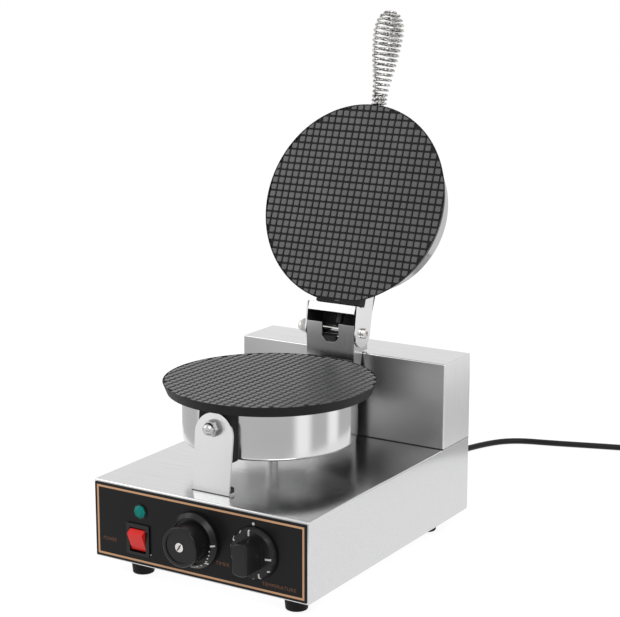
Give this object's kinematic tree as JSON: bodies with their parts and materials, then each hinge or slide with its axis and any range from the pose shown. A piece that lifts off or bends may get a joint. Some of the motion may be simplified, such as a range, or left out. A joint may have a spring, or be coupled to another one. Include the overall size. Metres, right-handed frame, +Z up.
{
  "type": "electric wafer cone baker",
  "caption": "Countertop electric krumkake iron: round patterned plates in steel drums, hinged lid held open, coil handle, control panel, mains cord.",
  "frame": {"origin": "on the standing surface, under the middle of the machine with its lid open, cord left out", "axes": "+X to the operator's right, +Y away from the operator, +Z up"},
  "size_m": [0.4426, 0.6948, 0.5291],
  "materials": {
    "stainless": "bright brushed stainless sheet",
    "drum_steel": "polished stainless with fine turned lines",
    "hinge_steel": "satin stainless sheet",
    "cast_black": "cast plate with a dark grey non-stick coating",
    "panel_black": "semi-gloss black front panel",
    "border_copper": "thin copper-coloured line",
    "bezel_black": "gloss black moulding",
    "rocker_red": "translucent red moulding",
    "lens_teal": "teal jewel lens",
    "knob_black": "satin black moulding",
    "plated": "bright zinc or nickel plate",
    "nickel_wire": "nickel-plated spring wire",
    "black_paint": "heat-proof black paint",
    "rubber_black": "matt black rubber",
    "sleeve_black": "black silicone sleeving",
    "cord_black": "satin black PVC sheath",
    "plug_black": "moulded black PVC",
    "brass": "plain brass",
    "copper": "drawn copper tube",
    "heater_sheath": "heat-darkened steel sheath",
    "wool": "pressed ceramic wool",
    "ceramic": "unglazed steatite",
    "control_case": "cream moulded case",
    "timer_case": "pressed case of the clockwork timer"
  },
  "bodies": {
    "base": {"base_shell": "stainless", "bottom_plate": "stainless", "case_screws": "plated", "feet": "rubber_black", "foot_screws": "plated", "foot_nuts": "plated", "rear_housing": "stainless", "rear_cover": "stainless", "terminal_block": "ceramic", "control_panel": "panel_black", "panel_border": "border_copper", "rocker_switch": "bezel_black", "switch_terminals": "brass", "pilot_lamp_body": "bezel_black", "pilot_lamp_lens": "lens_teal", "timer_body": "timer_case", "thermostat_body": "control_case", "thermostat_capillary": "copper", "front_upright": "stainless", "upright_screws": "plated", "front_stud": "plated", "front_washer": "plated", "front_cap_nut": "plated", "lower_plate": "cast_black", "lower_drum": "drum_steel", "lower_drum_screw": "plated", "lower_heater": "heater_sheath", "lower_insulation": "wool", "lower_lead_conduit": "sleeve_black", "hinge_bracket": "hinge_steel", "rear_lug_bolt": "plated", "bracket_lead_sleeve": "sleeve_black", "pin_spacer": "plated", "hinge_pin": "plated", "hinge_washer": "plated", "hinge_cap_nut": "plated", "cord_gland": "rubber_black", "cord_gland_nut": "bezel_black", "cord_lead": "cord_black", "cord_coil": "cord_black", "cord_tail": "cord_black", "plug_body": "plug_black", "plug_pins": "brass"},
    "lid": {"upper_plate": "cast_black", "upper_drum": "drum_steel", "upper_drum_screw": "plated", "upper_heater": "heater_sheath", "upper_insulation": "wool", "hinge_yoke": "hinge_steel", "yoke_screws": "plated", "lid_lead_sleeve": "sleeve_black", "hinge_cover": "black_paint", "handle_stud": "nickel_wire", "handle_coil": "nickel_wire"},
    "rocker": {"rocker_button": "rocker_red"},
    "timer_dial": {"timer_shaft": "plated", "timer_knob": "knob_black", "timer_knob_screw": "plated"},
    "thermostat_dial": {"thermostat_shaft": "plated", "thermostat_knob": "knob_black"}
  },
  "joints": [
    {"name": "lid_hinge", "type": "hinge", "parent": "base", "child": "lid", "pos_m": [-0.002, 0.08454, 0.205], "axis": [1, 0, 0], "range_deg": [0, 110.9]},
    {"name": "power_rocker", "type": "hinge", "parent": "base", "child": "rocker", "pos_m": [-0.069, -0.16846, 0.0408], "axis": [-1, 0, 0], "range_deg": [0, 15]},
    {"name": "timer_turn", "type": "hinge", "parent": "base", "child": "timer_dial", "pos_m": [-0.0015, -0.17246, 0.0545], "axis": [0, 1, 0], "range_deg": [0, 300]},
    {"name": "thermostat_turn", "type": "hinge", "parent": "base", "child": "thermostat_dial", "pos_m": [0.065, -0.17246, 0.0545], "axis": [0, 1, 0], "range_deg": [0, 270]}
  ]
}
